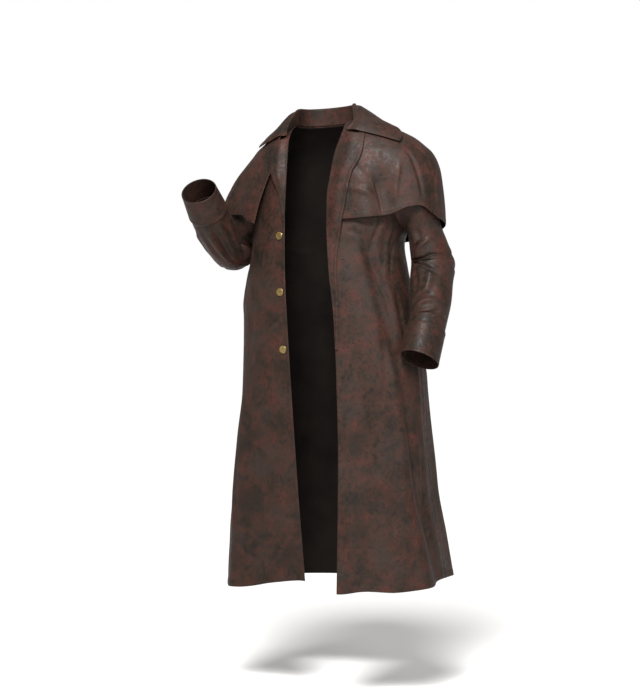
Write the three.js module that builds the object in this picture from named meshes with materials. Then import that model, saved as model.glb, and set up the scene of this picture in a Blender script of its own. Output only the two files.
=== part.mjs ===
// Long riding coat with a shoulder cape, worn open and hollow, with its right arm bent up.
// Millimetres, +Z up. The front faces -Y and the coat's own left is +X. The origin lies at the base of
// the neck, between the shoulders. A place on the cloth is given by its turn about the body (degrees,
// 0 at the front, + towards its left) and its level (height before the shoulders lean).
import * as THREE from 'three';

const CLOTH = 1.6;
const CUFF_CLOTH = 2.2;
const SEAM_GAP = 0.3;
const LEAN = 0.06;

const HEM_LEVEL = -1200;
const HIP_LEVEL = -731;
const ARMPIT_LEVEL = -262;
const SHOULDER_LEVEL = -40;
const NECK_LEVEL = 38;
const ARMHOLE_TURN = 30;
const ARMHOLE_EASE = 0.6;

const CAPE_TOP = 42;
const CAPE_FRONT_HEM = -232;
const BODY_SQUARENESS = 2.3;
const CAPE_SQUARENESS = 2.15;

const BUTTON_RADIUS = 10.5;
const BUTTON_INSET = 16;
const BUTTON_LEVELS = [-262, -412, -565];
const BUTTON_SEAT = 0.4;
const BUTTON_SEGMENTS = 18;

// How finely each piece is divided. A sleeve's columns meet the rows of the panels at the armhole.
const SLEEVE_COLUMNS_ROUND = 16;
const SLEEVE_ROWS = { upper: 12, lower: 9 };
const CUFF_ROWS = 3;
const SKIRT_ROWS = 7;
const WAIST_ROWS = 7;
const SHOULDER_ROWS = 4;
const BACK_COLUMNS = 24;
const FRONT_COLUMNS = 10;
const CAPE_ROWS = 10;
const CAPE_FRONT_COLUMNS = 11;
const LAPEL_COLUMNS = 6;
const LAPEL_ROWS = { left: 15, right: 9 };
const COLLAR_COLUMNS = 12;
const COLLAR_LINES = [0, 0.5, 1, 1.33, 1.67, 2, 2.12, 2.3, 2.5, 2.75, 3];

// Contours of the coat's body, from the neck down: the middle, then how far the cloth reaches from it.
const BODY = table('level midX midY left right frontLeft frontRight back', [
  [38, -12, -8, 80, 80, 60, 60, 62],
  [26, -10, -6, 110, 103, 74, 74, 76],
  [10, -6, -4, 154, 134, 86, 86, 90],
  [-4, -3, -2, 186, 160, 94, 94, 100],
  [-18, -1, -1, 212, 182, 101, 101, 108],
  [-36, 0, 0, 228, 200, 108, 108, 115],
  [-64, 0, 0, 232, 210, 116, 116, 124],
  [-110, 0, 0, 226, 214, 125, 125, 132],
  [-180, 0, 0, 218, 214, 135, 135, 139],
  [-262, 0, 0, 210, 216, 142, 143, 140],
  [-302, 0, 0, 201, 220, 145, 146, 138],
  [-360, 0, 0, 210, 230, 149, 148, 134],
  [-445, 0, 1, 227, 243, 154, 150, 134],
  [-560, 0, 3, 246, 244, 162, 150, 142],
  [-667, 0, 5, 263, 246, 170, 148, 152],
  [-799, 0, 8, 266, 264, 180, 144, 164],
  [-953, 0, 10, 276, 282, 194, 138, 176],
  [-1090, 0, 13, 300, 292, 206, 132, 190],
  [-1200, 0, 15, 318, 302, 216, 126, 206],
]);

// Contours of the shoulder cape, which bridges from the chest over the upper arms.
const CAPE = table('level midX midY left right frontLeft frontRight back', [
  [42, -12, -8, 84, 84, 64, 64, 67.8],
  [30, -10, -6, 124, 113, 80, 80, 83],
  [14, -6, -4, 168, 146, 93, 93, 98],
  [4, -4, -3, 194, 168, 100, 100, 106],
  [-7, -2, -2, 214, 186, 105, 105, 112],
  [-22, -1, -1, 238, 206, 111, 111, 119],
  [-39, 0, 0, 257, 222, 117, 117, 125],
  [-63, 0, 0, 282, 244, 123, 123, 132],
  [-88, 0, 0, 296, 266, 129, 129, 138],
  [-116, 0, 0, 305, 284, 134, 134, 143],
  [-150, 0, 0, 310, 300, 139, 139, 148],
  [-195, 0, 0, 315, 307, 144, 144, 153],
  [-254, 0, 0, 318, 312, 149, 150, 157],
  [-320, 0, 0, 318, 314, 154, 154, 159],
]);

// The open front edges, as places across the chest.
const FRONT_EDGES = table('level left right', [
  [38, 64, -89],
  [12, 64, -89],
  [-59, 49, -85],
  [-113, 42, -84],
  [-167, 36, -84],
  [-240, 37, -83],
  [-345, 44, -80],
  [-497, 62, -72],
  [-680, 73, -62],
  [-923, 82, -49],
  [-1200, 85, -34],
]);

// Width of the turned-out edge: a lapel above, a narrow strip of facing below.
const LAPEL_WIDTHS = table('level left right', [
  [12, 56, 34],
  [-20, 70, 44],
  [-57, 78, 48],
  [-85, 73, 45],
  [-108, 62, 38],
  [-157, 58, 20],
  [-208, 51, 9],
  [-225, 47, 7],
  [-256, 41, 7],
  [-321, 26, 7],
  [-420, 17, 7],
  [-575, 7, 7],
]);

// Where the lapels leave the cape below and lie on the fronts again.
const LAPEL_REST = { left: [-300, -225], right: [-160, -95] };
const LAPEL_TOP = 2;
const LAPEL_TOP_DROP = 9;
const LAPEL_BOTTOM = { left: -575, right: -225 };
const LAPEL_LIFT = { left: 1.3, right: 0.6 };
const LAPEL_CLEARANCE = 2.5;

const CAPE_EDGES = table('level left right', [
  [42, 73.5, -97.5],
  [30, 103, -112],
  [14, 109, -119],
  [4, 110, -120],
  [-57, 114, -122],
  [-88, 100, -129],
  [-108, 92, -138],
  [-135, 87, -147],
  [-175, 80, -160],
  [-232, 74, -174],
]);

const CAPE_HEM = table('turn level', [
  [-180, -292],
  [-140, -286],
  [-110, -246],
  [-90, -212],
  [-70, -190],
  [-47, -196],
  [-38, -214],
  [-32, -224],
  [15, -232],
  [38, -229],
  [50, -211],
  [57, -208],
  [68, -224],
  [80, -243],
  [90, -250],
  [110, -264],
  [140, -286],
  [180, -292],
]);

// How the hem rises and falls round the coat.
const HEM_LIFT = table('turn lift', [
  [-180, 0],
  [-90, 5],
  [-50, -1],
  [-20, 13],
  [-8, 17],
  [15, -12],
  [25, -8],
  [45, -16],
  [70, -11],
  [90, 3],
  [180, 0],
]);

// Folds run down the cloth from one place to another. Depth is + for a ridge, - for a trough.
const BODY_FOLDS = table('turn top endTurn bottom width depth', [
  [38, -200, 52, -520, 6, -9],
  [50, -420, 66, -1200, 9, 12],
  [30, -500, 34, -1200, 9, -10],
  [102, -640, 108, -1200, 9, 14],
  [128, -560, 132, -1200, 10, -16],
  [155, -500, 156, -1200, 11, 15],
  [182, -520, 184, -1200, 10, -14],
  [212, -480, 208, -1200, 11, 16],
  [238, -560, 234, -1200, 9, -13],
  [262, -620, 260, -1200, 8, 8],
  [-62, -430, -58, -1200, 9, 10],
  [-38, -620, -36, -1200, 8, -8],
]);

const CAPE_FOLDS = table('turn top endTurn bottom width depth', [
  [34, -70, 38, -260, 7, -13],
  [22, -70, 25, -260, 6, 5],
  [60, -110, 62, -260, 8, 6],
  [-48, -80, -50, -260, 7, -9],
  [-66, -90, -66, -260, 8, 6],
  [-128, -70, -128, -300, 10, -12],
  [-152, -60, -150, -300, 10, 8],
  [180, -80, 180, -300, 11, -10],
  [152, -60, 150, -300, 10, 9],
  [126, -70, 126, -300, 10, -12],
]);

// Rings of each sleeve from the armhole to the cuff's end: the point nearest the body, the point
// farthest from it, and half the ring's depth the other way. The cuff lies over the last stretch, and
// the sleeve ends a little way up inside it.
const SLEEVE_INTO_CUFF = 0.15;
const SLEEVE_ELBOW = { left: 6.5, right: 7.5 };
const CUFF_LIFT = 0.5;
const SLEEVE_COLUMNS = 'innerX innerY innerZ outerX outerY outerZ depth';
const SLEEVES = {
  left: table(SLEEVE_COLUMNS, [
    [212, 0, -250, 230, 0, -28, 74],
    [214, 0, -254, 266, 0, -48, 75],
    [216, 2, -260, 292, 2, -98, 71],
    [218, 3, -268, 299, 4, -160, 66],
    [220, 6, -280, 302, 8, -228, 60],
    [222, 10, -302, 322, 12, -286, 59],
    [225, 12, -344, 341, 14, -340, 59],
    [227, -4, -388, 342, -6, -390, 58],
    [234, -26, -438, 344, -28, -440, 56],
    [240, -52, -488, 340, -52, -492, 53],
    [238, -68, -514, 338, -68, -522, 53],
    [233, -106, -586, 331, -106, -606, 52],
  ]),
  right: table(SLEEVE_COLUMNS, [
    [-216, 0, -273, -212, 0, -53, 74],
    [-222, -2, -274, -238, -2, -92, 74],
    [-224, -4, -280, -268, -4, -140, 68],
    [-225, -4, -286, -288, -2, -190, 58],
    [-225, -2, -296, -300, 2, -242, 46],
    [-222, -10, -306, -305, 0, -279, 38],
    [-222, -25, -319, -309, -14, -305, 36],
    [-223, -50, -326, -311, -38, -314, 36],
    [-225, -78, -319, -315, -66, -307, 38],
    [-227, -107, -298, -319, -93, -285, 43],
    [-228, -147, -254, -329, -131, -240, 52],
    [-232, -190, -212, -332, -175, -198, 51],
    [-242, -244, -158, -330, -231, -144, 44],
  ]),
};

// The collar from its right front round the neck to the left: its seam on the neck, the height
// of its fold, and where its outer edge comes down on the cape.
const COLLAR = table('turn level height edgeTurn edgeLevel edgeRise', [
  [-37, 5, 3, -61, -20, 8],
  [-62, 29, 27, -78, -4, 8],
  [-90, 38, 44, -95, 8, 6],
  [-135, 38, 46, -136, 0, 6],
  [-180, 38, 46, -180, -2, 6],
  [-225, 38, 46, -224, 0, 6],
  [-270, 38, 44, -265, 12, 6],
  [-299, 29, 28, -284, -4, 8],
  [-336, 5, 3, -304, -38, 8],
]);
const COLLAR_ROW_SPACING = 120;
const COLLAR_SEAT = 0.5;
const COLLAR_FOLD_RADIUS = 2.8;
const COLLAR_LEAN = -0.1;
const COLLAR_LEAF_START = 4;
const COLLAR_LEAF_SAG = 1.15;

const CLOTH_FINISH = { color: 0x43302c, roughness: 0.62, metalness: 0 };
const BRASS_FINISH = { color: 0xa08a55, roughness: 0.35, metalness: 1 };

function table(columns, rows) {
  const names = columns.split(' ');
  return rows.map((row) => Object.fromEntries(names.map((name, i) => [name, row[i]])));
}

function radians(degrees) {
  return (degrees * Math.PI) / 180;
}

function mix(from, to, share) {
  return from + (to - from) * share;
}

function ease(from, to, value) {
  const share = Math.min(1, Math.max(0, (value - from) / (to - from)));
  return share * share * (3 - 2 * share);
}

function steps(from, to, count) {
  return Array.from({ length: count + 1 }, (_, i) => mix(from, to, i / count));
}

// Steps that crowd at both ends, as an armhole's curve needs.
function easedSteps(from, to, count) {
  return steps(0, Math.PI, count).map((angle) => mix(from, to, (1 - Math.cos(angle)) / 2));
}

// A column's value at a place on the first column: a cubic through the rows that never overshoots.
function read(rows, column, at) {
  const key = Object.keys(rows[0])[0];
  const last = rows.length - 2;
  const rising = rows[1][key] > rows[0][key];
  let i = 0;
  while (i < last && (rising ? at > rows[i + 1][key] : at < rows[i + 1][key])) {
    i += 1;
  }
  const slope = (k) => (rows[k + 1][column] - rows[k][column]) / (rows[k + 1][key] - rows[k][key]);
  const tangent = (k) => {
    if (k === 0 || k === rows.length - 1) {
      return slope(Math.min(k, last));
    }
    const before = slope(k - 1);
    const after = slope(k);
    return before * after > 0 ? (2 * before * after) / (before + after) : 0;
  };
  const span = rows[i + 1][key] - rows[i][key];
  const t = Math.min(1, Math.max(0, (at - rows[i][key]) / span));
  const from = rows[i][column];
  const to = rows[i + 1][column];
  return (
    from * (1 + 2 * t) * (1 - t) ** 2 +
    to * (3 - 2 * t) * t ** 2 +
    span * tangent(i) * t * (1 - t) ** 2 -
    span * tangent(i + 1) * t ** 2 * (1 - t)
  );
}

// A column's value between numbered rows: a Catmull-Rom curve through them.
function glide(rows, column, place) {
  const i = Math.min(rows.length - 2, Math.max(0, Math.floor(place)));
  const t = place - i;
  const at = (k) => rows[Math.min(rows.length - 1, Math.max(0, k))][column];
  const [a, b, c, d] = [at(i - 1), at(i), at(i + 1), at(i + 2)];
  return 0.5 * (2 * b + (c - a) * t + (2 * a - 5 * b + 4 * c - d) * t ** 2 + (3 * (b - c) + d - a) * t ** 3);
}

function foldDepth(folds, turn, level) {
  return folds.reduce((total, fold) => {
    const share = (level - fold.top) / (fold.bottom - fold.top);
    if (share <= 0) {
      return total;
    }
    const crest = mix(fold.turn, fold.endTurn, share);
    const away = ((((turn - crest + 180) % 360) + 360) % 360) - 180;
    return total + fold.depth * ease(0, 0.5, share) * Math.exp(-((away / fold.width) ** 2));
  }, 0);
}

// A point of a shape's contour: an ellipse with fuller corners, moved in and out by the folds.
function contourPoint(shape, squareness, folds, turn, level) {
  const across = Math.sin(radians(turn));
  const along = Math.cos(radians(turn));
  const side = across >= 0 ? 'left' : 'right';
  const front = across >= 0 ? 'frontLeft' : 'frontRight';
  const fuller = (value) => Math.sign(value) * Math.abs(value) ** (2 / squareness);
  const x = read(shape, side, level) * fuller(across);
  const y = -read(shape, along > 0 ? front : 'back', level) * fuller(along);
  const swell = 1 + foldDepth(folds, turn, level) / Math.hypot(x, y);
  return new THREE.Vector3(
    read(shape, 'midX', level) + x * swell,
    read(shape, 'midY', level) + y * swell,
    level,
  );
}

// The turn at which a shape's front passes a given place across the chest.
function turnAt(shape, squareness, x, level) {
  const fromMiddle = x - read(shape, 'midX', level);
  const half = read(shape, fromMiddle > 0 ? 'left' : 'right', level);
  const share = Math.min(1, Math.abs(fromMiddle) / half) ** (squareness / 2);
  return (Math.sign(fromMiddle) * Math.asin(share) * 180) / Math.PI;
}

function bodyPoint(turn, level) {
  const point = contourPoint(BODY, BODY_SQUARENESS, BODY_FOLDS, turn, level);
  const wrapped = ((((turn + 180) % 360) + 360) % 360) - 180;
  point.z += LEAN * point.x + read(HEM_LIFT, 'lift', wrapped) * ease(-800, HEM_LEVEL, level);
  return point;
}

function capePoint(turn, level) {
  const point = contourPoint(CAPE, CAPE_SQUARENESS, CAPE_FOLDS, turn, level);
  point.z += LEAN * point.x;
  return point;
}

// The outward normal of a surface at a place, from its slopes both ways.
function normalOf(pointAt, a, b, stepA, stepB) {
  const alongA = pointAt(a + stepA, b).sub(pointAt(a - stepA, b));
  const alongB = pointAt(a, b + stepB).sub(pointAt(a, b - stepB));
  return alongA.cross(alongB).normalize();
}

function onSurface(pointAt, turn, level) {
  return { point: pointAt(turn, level), normal: normalOf(pointAt, turn, level, 0.2, 0.5) };
}

// A closed wall of cloth over a grid of points, whose columns run round the body and rows run up it.
// A tube's grid closes on itself, so its last column joins its first.
function clothWall(grid, lift, thickness, tube = false) {
  const rows = grid.length;
  const columns = grid[0].length;
  const positions = [];
  for (const distance of [lift + thickness, lift]) {
    for (const { point, normal } of grid.flat()) {
      positions.push(...point.clone().addScaledVector(normal, distance).toArray());
    }
  }
  const outer = (row, column) => row * columns + (column % columns);
  const inner = (row, column) => rows * columns + outer(row, column);
  const faces = [];
  const quad = (a, b, c, d) => faces.push(a, b, c, a, c, d);
  const lastRow = rows - 1;
  const lastColumn = tube ? columns : columns - 1;
  for (let r = 0; r < lastRow; r += 1) {
    for (let c = 0; c < lastColumn; c += 1) {
      quad(outer(r, c), outer(r, c + 1), outer(r + 1, c + 1), outer(r + 1, c));
      quad(inner(r, c), inner(r + 1, c), inner(r + 1, c + 1), inner(r, c + 1));
    }
  }
  for (let c = 0; c < lastColumn; c += 1) {
    quad(inner(0, c), inner(0, c + 1), outer(0, c + 1), outer(0, c));
    quad(inner(lastRow, c + 1), inner(lastRow, c), outer(lastRow, c), outer(lastRow, c + 1));
  }
  for (let r = 0; r < lastRow && !tube; r += 1) {
    quad(inner(r + 1, 0), inner(r, 0), outer(r, 0), outer(r + 1, 0));
    quad(inner(r, lastColumn), inner(r + 1, lastColumn), outer(r + 1, lastColumn), outer(r, lastColumn));
  }
  const geometry = new THREE.BufferGeometry();
  geometry.setAttribute('position', new THREE.Float32BufferAttribute(positions, 3));
  geometry.setIndex(faces);
  geometry.computeVertexNormals();
  return geometry;
}

// Levels of the rows of a body panel's three stretches, which part at the hip and the armpit.
function bodyLevels() {
  const half = SEAM_GAP / 2;
  return {
    skirt: steps(HEM_LEVEL, HIP_LEVEL - half, SKIRT_ROWS),
    waist: steps(HIP_LEVEL + half, ARMPIT_LEVEL - half, WAIST_ROWS),
    shoulder: [
      ...easedSteps(ARMPIT_LEVEL + half, SHOULDER_LEVEL, SLEEVE_COLUMNS_ROUND / 2),
      ...steps(SHOULDER_LEVEL, NECK_LEVEL, SHOULDER_ROWS).slice(1),
    ],
  };
}

// How far the armhole cuts into a panel from the side seam.
function armholeTurn(level) {
  const half = (SHOULDER_LEVEL - ARMPIT_LEVEL) / 2;
  const height = (level - ARMPIT_LEVEL - half) / half;
  return ARMHOLE_TURN * Math.sqrt(Math.max(0, 1 - height ** 2));
}

// Half the seam gap as a turn, beside the side of a contour that is this deep.
function seamTurn(shape, squareness, column, level) {
  const share = (SEAM_GAP / 2 / read(shape, column, level)) ** (squareness / 2);
  return (share * 180) / Math.PI;
}

// A body panel as a group of its three stretches.
function bodyPanel(name, columns, span) {
  const panel = new THREE.Group();
  for (const [stretch, levels] of Object.entries(bodyLevels())) {
    const grid = levels.map((level) => {
      const [from, to] = span(level);
      return steps(from, to, columns).map((turn) => onSurface(bodyPoint, turn, level));
    });
    panel.add(clothPiece(`${name}_${stretch}`, clothWall(grid, -CLOTH, CLOTH)));
  }
  return panel;
}

function backPanel() {
  return bodyPanel('back', BACK_COLUMNS, (level) => {
    const seam = 90 + armholeTurn(level) + seamTurn(BODY, BODY_SQUARENESS, 'back', level);
    return [seam, 360 - seam];
  });
}

function frontPanel(side) {
  const front = side === 'left' ? 'frontLeft' : 'frontRight';
  return bodyPanel(`front_${side}`, FRONT_COLUMNS, (level) => {
    const edge = turnAt(BODY, BODY_SQUARENESS, read(FRONT_EDGES, side, level), level);
    const seam = 90 - armholeTurn(level) - seamTurn(BODY, BODY_SQUARENESS, front, level);
    return side === 'left' ? [edge, seam] : [-seam, edge];
  });
}

// A lapel's point: on the front panel at the rolled edge, riding on the cape towards its outer edge.
function lapelPoint(side, share, level) {
  const outward = side === 'left' ? 1 : -1;
  const x = read(FRONT_EDGES, side, level) + outward * share * read(LAPEL_WIDTHS, side, level);
  const onBody = bodyPoint(turnAt(BODY, BODY_SQUARENESS, x, level), level);
  const onCape = capePoint(turnAt(CAPE, CAPE_SQUARENESS, x, level), level);
  onCape.y -= LAPEL_CLEARANCE;
  const [rest, leave] = LAPEL_REST[side];
  const riding = ease(0, 0.6, share) * ease(rest, leave, level);
  return onBody.lerp(onCape, riding);
}

function lapel(side) {
  const shares = side === 'left' ? steps(0, 1, LAPEL_COLUMNS) : steps(1, 0, LAPEL_COLUMNS);
  const pointAt = (share, level) => lapelPoint(side, share, level);
  const grid = steps(0, 1, LAPEL_ROWS[side]).map((height) =>
    shares.map((share) => {
      const level = mix(LAPEL_BOTTOM[side], LAPEL_TOP - LAPEL_TOP_DROP * share, height);
      const normal = normalOf(pointAt, share, level, side === 'left' ? 0.02 : -0.02, 1);
      return { point: pointAt(share, level), normal };
    }),
  );
  return clothWall(grid, LAPEL_LIFT[side], CLOTH);
}

function capeGrid(columns, span) {
  return steps(1, 0, CAPE_ROWS).map((drop) => {
    const [from, to] = span(mix(CAPE_TOP, CAPE_FRONT_HEM, drop));
    return steps(from, to, columns).map((turn) => {
      const wrapped = turn > 180 ? turn - 360 : turn;
      const level = mix(CAPE_TOP, read(CAPE_HEM, 'level', wrapped), drop);
      return onSurface(capePoint, turn, level);
    });
  });
}

function capeFront(side) {
  const grid = capeGrid(CAPE_FRONT_COLUMNS, (level) => {
    const edge = turnAt(CAPE, CAPE_SQUARENESS, read(CAPE_EDGES, side, level), level);
    const seam = 90 - seamTurn(CAPE, CAPE_SQUARENESS, 'frontLeft', level);
    return side === 'left' ? [edge, seam] : [-seam, edge];
  });
  return clothWall(grid, -CLOTH, CLOTH);
}

function capeBack() {
  const grid = capeGrid(BACK_COLUMNS, (level) => {
    const seam = 90 + seamTurn(CAPE, CAPE_SQUARENESS, 'back', level);
    return [seam, 360 - seam];
  });
  return clothWall(grid, -CLOTH, CLOTH);
}

// A place on the collar: across 0 to 1 climbs the stand, 1 to 2 goes over the fold, 2 to 3 comes down
// the leaf, which keeps to the cape's form.
function collarPoint(place, across) {
  const [turn, level, height, edgeTurn, edgeLevel, edgeRise] = Object.keys(COLLAR[0]).map((column) =>
    glide(COLLAR, column, place),
  );
  const seam = onSurface(bodyPoint, turn, level);
  const foot = seam.point.addScaledVector(seam.normal, COLLAR_SEAT);
  const away = new THREE.Vector3(foot.x - BODY[0].midX, foot.y - BODY[0].midY, 0).normalize();
  const climb = Math.min(1, across);
  const top = foot.addScaledVector(away, COLLAR_LEAN * height * climb);
  top.z += COLLAR_SEAT + height * climb;
  if (across <= 1) {
    return top;
  }
  const bend = radians(180 * Math.min(1, across - 1));
  top.addScaledVector(away, COLLAR_FOLD_RADIUS * (1 - Math.cos(bend)));
  top.z += COLLAR_FOLD_RADIUS * Math.sin(bend);
  if (across <= 2) {
    return top;
  }
  const fall = across - 2;
  const leafStart = level + COLLAR_LEAF_START;
  const start = capePoint(turn, leafStart);
  const cape = onSurface(capePoint, mix(turn, edgeTurn, fall), mix(leafStart, edgeLevel, fall));
  const lift = edgeRise * ease(0, 0.15, fall);
  const spare = top.sub(start).multiplyScalar(Math.max(0, 1 - fall) ** COLLAR_LEAF_SAG);
  return cape.point.addScaledVector(cape.normal, lift).add(spare);
}

// Half of the collar, from its front to just short of the middle of the back.
function collarHalf(side) {
  const last = COLLAR.length - 1;
  const gap = SEAM_GAP / 2 / COLLAR_ROW_SPACING;
  const [from, to] = side === 'right' ? [0, last / 2 - gap] : [last / 2 + gap, last];
  const grid = COLLAR_LINES.map((across) =>
    steps(from, to, COLLAR_COLUMNS).map((place) => ({
      point: collarPoint(place, across),
      normal: normalOf(collarPoint, place, across, 0.02, 0.02),
    })),
  );
  return clothWall(grid, -CLOTH, CLOTH);
}

// A point of the armhole's edge, a little inside it, where the sleeve is sewn in.
function armholePoint(side, angle) {
  const half = (SHOULDER_LEVEL - ARMPIT_LEVEL) / 2;
  const shrink = 1 - ARMHOLE_EASE / half;
  const level = ARMPIT_LEVEL + half + half * shrink * Math.cos(angle);
  const middle = side === 'left' ? 90 : -90;
  return bodyPoint(middle - ARMHOLE_TURN * shrink * Math.sin(angle), level);
}

// A point of a sleeve: rings of the sleeve's table, the first of them grown out of the armhole.
function sleevePoint(side, angle, place) {
  const rows = SLEEVES[side];
  const ringEnd = (end, at) => new THREE.Vector3(
    glide(rows, end + 'X', at),
    glide(rows, end + 'Y', at),
    glide(rows, end + 'Z', at),
  );
  const centre = (at) => ringEnd('inner', at).add(ringEnd('outer', at)).multiplyScalar(0.5);
  const across = ringEnd('outer', place).sub(ringEnd('inner', place)).multiplyScalar(0.5);
  const onwards = centre(place + 0.1).sub(centre(place - 0.1));
  const deep = onwards.cross(across).normalize().multiplyScalar(glide(rows, 'depth', place));
  const ring = centre(place)
    .addScaledVector(across, Math.cos(angle))
    .addScaledVector(deep, Math.sin(angle));
  return armholePoint(side, angle).lerp(ring, ease(0, 1, place));
}

function sleeveTube(side, from, to, rows, lift, thickness) {
  const pointAt = (angle, place) => sleevePoint(side, angle, place);
  const grid = steps(from, to, rows).map((place) =>
    steps(0, 2 * Math.PI, SLEEVE_COLUMNS_ROUND).slice(0, -1).map((angle) => ({
      point: pointAt(angle, place),
      normal: normalOf(pointAt, angle, place, 0.02, 0.02),
    })),
  );
  return clothWall(grid, lift, thickness, true);
}

// A sleeve above or below the place where it parts at the elbow.
function sleeve(side, part) {
  const elbow = SLEEVE_ELBOW[side];
  const end = SLEEVES[side].length - 2 + SLEEVE_INTO_CUFF;
  const ringSpacing = sleevePoint(side, 0, elbow - 0.5).distanceTo(sleevePoint(side, 0, elbow + 0.5));
  const gap = SEAM_GAP / 2 / ringSpacing;
  const [from, to] = part === 'upper' ? [0, elbow - gap] : [elbow + gap, end];
  return sleeveTube(side, from, to, SLEEVE_ROWS[part], -CLOTH, CLOTH);
}

function cuff(side) {
  const end = SLEEVES[side].length - 1;
  return sleeveTube(side, end - 1, end, CUFF_ROWS, CUFF_LIFT, CUFF_CLOTH);
}

// A snap's cap: a round brass disc with a raised rim, lying flat on the front panel.
function button(name, level) {
  const profile = [
    [0, 0],
    [0.88, 0],
    [1, 0.08],
    [1, 0.2],
    [0.92, 0.29],
    [0.8, 0.25],
    [0.55, 0.22],
    [0, 0.24],
  ].map(([out, up]) => new THREE.Vector2(out * BUTTON_RADIUS, up * BUTTON_RADIUS));
  const geometry = new THREE.LatheGeometry(profile, BUTTON_SEGMENTS);
  const x = read(FRONT_EDGES, 'right', level) - BUTTON_INSET;
  const seat = onSurface(bodyPoint, turnAt(BODY, BODY_SQUARENESS, x, level), level);
  const mesh = new THREE.Mesh(geometry, new THREE.MeshStandardMaterial(BRASS_FINISH));
  mesh.name = name;
  mesh.position.copy(seat.point).addScaledVector(seat.normal, BUTTON_SEAT);
  mesh.quaternion.setFromUnitVectors(new THREE.Vector3(0, 1, 0), seat.normal);
  return mesh;
}

function clothPiece(name, geometry) {
  const mesh = new THREE.Mesh(geometry, new THREE.MeshStandardMaterial(CLOTH_FINISH));
  mesh.name = name;
  return mesh;
}

const coat = new THREE.Group();
coat.add(backPanel());
coat.add(clothPiece('cape_back', capeBack()));
for (const side of ['left', 'right']) {
  coat.add(frontPanel(side));
  coat.add(clothPiece(`lapel_${side}`, lapel(side)));
  coat.add(clothPiece(`collar_${side}`, collarHalf(side)));
  coat.add(clothPiece(`cape_front_${side}`, capeFront(side)));
  coat.add(clothPiece(`sleeve_${side}_upper`, sleeve(side, 'upper')));
  coat.add(clothPiece(`sleeve_${side}_lower`, sleeve(side, 'lower')));
  coat.add(clothPiece(`cuff_${side}`, cuff(side)));
}
BUTTON_LEVELS.forEach((level, i) => coat.add(button(`button_${i + 1}`, level)));

export default coat;
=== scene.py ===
"""Looks of a long riding coat with a shoulder cape, worn open and hollow, its right arm bent up.

Sizes in the tables are millimetres, the scene is in metres. The front faces -Y and the coat's own
left is +X. A place on the cloth is given by its turn about the body (degrees, 0 at the front,
+ towards its left) and its level (height before the shoulders lean).
"""

import math

import bpy
import numpy as np
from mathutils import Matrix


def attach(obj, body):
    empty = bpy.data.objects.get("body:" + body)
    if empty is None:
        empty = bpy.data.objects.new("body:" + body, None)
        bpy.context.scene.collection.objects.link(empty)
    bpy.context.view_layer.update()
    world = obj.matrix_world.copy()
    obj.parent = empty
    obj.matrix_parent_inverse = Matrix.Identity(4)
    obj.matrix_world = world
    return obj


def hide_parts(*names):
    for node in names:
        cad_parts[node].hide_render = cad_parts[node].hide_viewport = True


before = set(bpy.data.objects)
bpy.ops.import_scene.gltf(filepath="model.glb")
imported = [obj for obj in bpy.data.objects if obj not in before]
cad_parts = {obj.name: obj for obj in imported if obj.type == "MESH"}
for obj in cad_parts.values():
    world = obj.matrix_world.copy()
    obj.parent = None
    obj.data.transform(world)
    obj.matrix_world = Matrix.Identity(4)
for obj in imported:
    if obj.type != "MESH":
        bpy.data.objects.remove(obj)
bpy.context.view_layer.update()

# Driving sizes, as in the solids.
CLOTH = 1.6
CUFF_CLOTH = 2.2
SEAM_GAP = 0.3
LEAN = 0.06
HEM_LEVEL = -1200
ARMPIT_LEVEL = -262
SHOULDER_LEVEL = -40
NECK_LEVEL = 38
ARMHOLE_TURN = 30
ARMHOLE_EASE = 0.6
CAPE_TOP = 42
CAPE_FRONT_HEM = -232
BODY_SQUARENESS = 2.3
CAPE_SQUARENESS = 2.15
BUTTON_INSET = 16
BUTTON_LEVELS = (-262, -412, -565)
BUTTON_SEAT = 0.4
CAP_SEGMENTS = 48
LAPEL_REST = {"left": (-300, -225), "right": (-160, -95)}
LAPEL_TOP = 2
LAPEL_TOP_DROP = 9
LAPEL_BOTTOM = {"left": -575, "right": -225}
LAPEL_LIFT = {"left": 1.3, "right": 0.6}
LAPEL_CLEARANCE = 2.5
SLEEVE_INTO_CUFF = 0.15
CUFF_LIFT = 0.5
COLLAR_SEAT = 0.5
COLLAR_FOLD_RADIUS = 2.8
COLLAR_LEAN = -0.1
COLLAR_LEAF_START = 4
COLLAR_LEAF_SAG = 1.15

# Sewing: how far a stitch line lies from its edge, and the thread.
HEM_TURN = 17
EDGE_TURN = 8
STITCH_LENGTH = 3.3
STITCH_PITCH = 4.2
THREAD_RADIUS = 0.24
TURN_RISE = 0.45
GROOVE_DEPTH = 0.4
GROOVE_HALF_WIDTH = 1.6
FAR_FROM_EDGES = 400.0

# Shape of a crease: a fainter, wider lip stands beside it, and the peak makes up for what that takes.
CREASE_PEAK = 1.5
LIP_SHARE = 0.35
LIP_SPREAD = 2.1

# The photograph's view, in metres and degrees.
VIEW_TURN = 20
VIEW_DISTANCE = 5.5
VIEW_SIDE_SHIFT = -0.03
VIEW_HEIGHT = -0.505
VIEW_DOWN = 0.69
VIEW_LENS = 104.8
FLOOR_LEVEL = -1.49
FLOOR_REACH = 30000

# Brightness of the white room: as it lights the coat, and where the camera sees it.
ROOM_GLOW = 0.45
ROOM_SEEN = 1.0


def table(columns, rows):
    """Named columns of a short table, the first of them its key."""
    return dict(zip(columns.split(), np.array(rows, float).T))


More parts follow.
